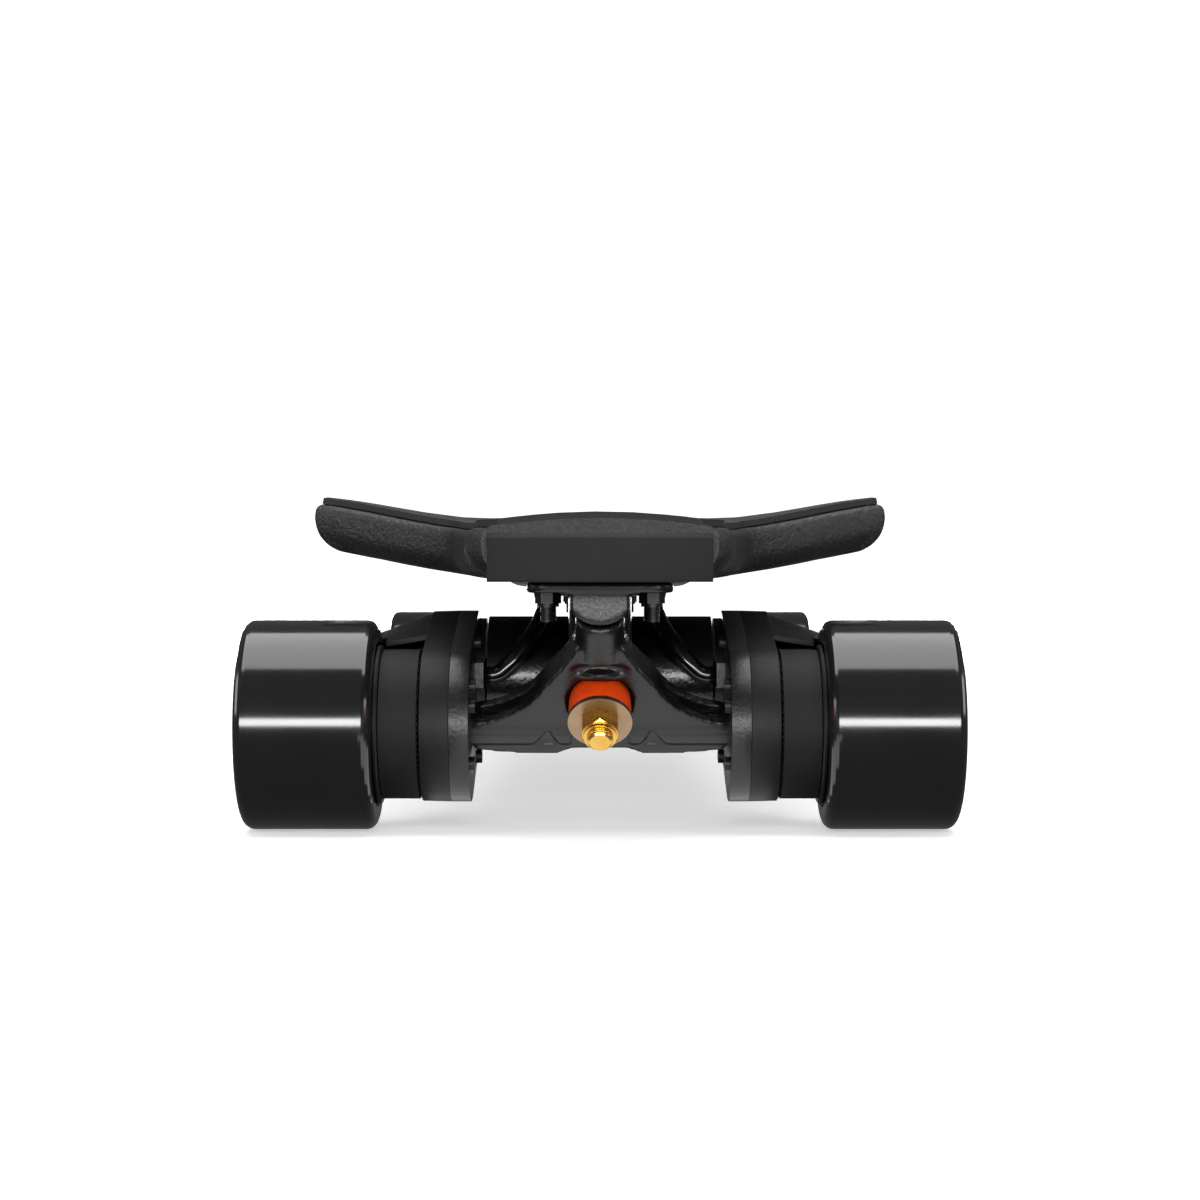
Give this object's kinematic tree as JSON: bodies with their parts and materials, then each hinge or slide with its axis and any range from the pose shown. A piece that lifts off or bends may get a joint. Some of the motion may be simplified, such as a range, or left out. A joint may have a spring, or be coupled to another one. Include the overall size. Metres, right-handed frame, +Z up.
{
  "type": "electric skateboard",
  "caption": "Long drop-edge composite deck with a battery inside, on reverse-kingpin trucks; twin belt-driven rear wheels with guards, orange bushings and black rubber bumpers.",
  "frame": {"origin": "on the ground, midway between the trucks, on the board's centre line", "axes": "+Y towards the nose, +X to the rider's right when looking along +Y, +Z up"},
  "size_m": [0.288, 0.96, 0.1376],
  "materials": {
    "deck_composite": "pebbled composite",
    "grip": "smooth grippy pad",
    "bumper": "matte moulded rubber",
    "cover": "satin moulded lid",
    "black_screw": "black oxide steel",
    "cell": "shrink-wrapped cells",
    "board": "circuit board",
    "controller": "anodised alloy case",
    "lead": "silicone lead",
    "cable": "glossy black jacket",
    "boot": "matte rubber boot",
    "socket": "moulded socket",
    "bezel": "anodised ring",
    "button": "satin key",
    "truck": "satin black coat on cast alloy",
    "mount": "black anodised alloy",
    "guard": "matte moulded guard",
    "gold_steel": "yellow zinc plate",
    "bushing": "orange urethane",
    "steel": "bright zinc plate",
    "tyre": "polished urethane",
    "core": "moulded core",
    "bearing": "ground steel",
    "pulley": "moulded nylon",
    "motor_pulley": "machined steel",
    "rotor": "satin black can",
    "stator": "wound core in an alloy base",
    "belt": "toothed rubber belt"
  },
  "bodies": {
    "deck": {"deck_body": "deck_composite", "grip_pad": "grip", "nose_bumper": "bumper", "tail_bumper": "bumper", "battery_cover": "cover", "controller_cover": "cover", "cover_screws": "black_screw", "battery_cells": "cell", "battery_board": "board", "motor_controller": "controller", "power_leads": "lead", "charge_socket": "socket", "button_bezel": "bezel", "cable_glands": "boot", "front_baseplate": "truck", "rear_baseplate": "truck", "truck_bolts": "black_screw", "truck_nuts": "black_screw", "kingpins": "gold_steel", "kingpin_fasteners": "gold_steel", "front_bushings": "bushing", "rear_bushings": "bushing", "pivot_cups": "boot"},
    "charge_cap": {"charge_cap": "boot"},
    "power_button": {"power_button": "button"},
    "front_hanger": {"front_hanger": "truck", "front_axle": "steel", "front_axle_fasteners": "steel"},
    "rear_hanger": {"rear_hanger": "truck", "rear_axle": "steel", "rear_axle_fasteners": "steel", "mount_screws": "black_screw", "motor_mount_left": "mount", "belt_cover_left": "guard", "motor_stator_left": "stator", "drive_belt_left": "belt", "motor_cable_left": "cable", "motor_mount_right": "mount", "belt_cover_right": "guard", "motor_stator_right": "stator", "drive_belt_right": "belt", "motor_cable_right": "cable"},
    "front_left_wheel": {"front_left_tyre": "tyre", "front_left_core": "core", "front_left_bearings": "bearing"},
    "front_right_wheel": {"front_right_tyre": "tyre", "front_right_core": "core", "front_right_bearings": "bearing"},
    "rear_left_wheel": {"rear_left_tyre": "tyre", "rear_left_core": "core", "rear_left_bearings": "bearing", "wheel_pulley_left": "pulley"},
    "rear_right_wheel": {"rear_right_tyre": "tyre", "rear_right_core": "core", "rear_right_bearings": "bearing", "wheel_pulley_right": "pulley"},
    "motor_rotor_left": {"motor_rotor_left": "rotor", "motor_pulley_left": "motor_pulley"},
    "motor_rotor_right": {"motor_rotor_right": "rotor", "motor_pulley_right": "motor_pulley"}
  },
  "joints": [
    {"name": "front_steer", "type": "hinge", "parent": "deck", "child": "front_hanger", "pos_m": [0, 0.37176, 0.05652], "axis": [0, 0.6428, 0.766], "range_deg": [-15, 15], "stiffness_Nm_per_rad": 60, "deforming": ["front_bushings"]},
    {"name": "rear_steer", "type": "hinge", "parent": "deck", "child": "rear_hanger", "pos_m": [0, -0.37176, 0.05652], "axis": [0, -0.6428, 0.766], "range_deg": [-15, 15], "stiffness_Nm_per_rad": 60, "deforming": ["rear_bushings", "motor_cable_left", "motor_cable_right"]},
    {"name": "front_left_spin", "type": "hinge", "parent": "front_hanger", "child": "front_left_wheel", "pos_m": [-0.117, 0.36, 0.0425], "axis": [1, 0, 0], "continuous": true},
    {"name": "front_right_spin", "type": "hinge", "parent": "front_hanger", "child": "front_right_wheel", "pos_m": [0.117, 0.36, 0.0425], "axis": [1, 0, 0], "continuous": true},
    {"name": "rear_left_spin", "type": "hinge", "parent": "rear_hanger", "child": "rear_left_wheel", "pos_m": [-0.117, -0.36, 0.0425], "axis": [1, 0, 0], "continuous": true, "deforming": ["drive_belt_left"]},
    {"name": "rear_right_spin", "type": "hinge", "parent": "rear_hanger", "child": "rear_right_wheel", "pos_m": [0.117, -0.36, 0.0425], "axis": [1, 0, 0], "continuous": true, "deforming": ["drive_belt_right"]},
    {"name": "motor_left_spin", "type": "hinge", "parent": "rear_hanger", "child": "motor_rotor_left", "pos_m": [-0.06, -0.29997, 0.06], "axis": [1, 0, 0], "continuous": true},
    {"name": "motor_right_spin", "type": "hinge", "parent": "rear_hanger", "child": "motor_rotor_right", "pos_m": [0.06, -0.29997, 0.06], "axis": [1, 0, 0], "continuous": true},
    {"name": "charge_cap_hinge", "type": "hinge", "parent": "deck", "child": "charge_cap", "pos_m": [-0.08, -0.205, 0.1099], "axis": [0, 1, 0], "range_deg": [0, 110]},
    {"name": "power_button_press", "type": "slide", "parent": "deck", "child": "power_button", "axis": [0, 0, 1], "range_m": [0, 0.001], "stiffness_N_per_m": 1200}
  ],
  "couplings": [
    {"joint": "motor_left_spin", "follows": "rear_left_spin", "ratio": 2.5714},
    {"joint": "motor_right_spin", "follows": "rear_right_spin", "ratio": 2.5714}
  ]
}
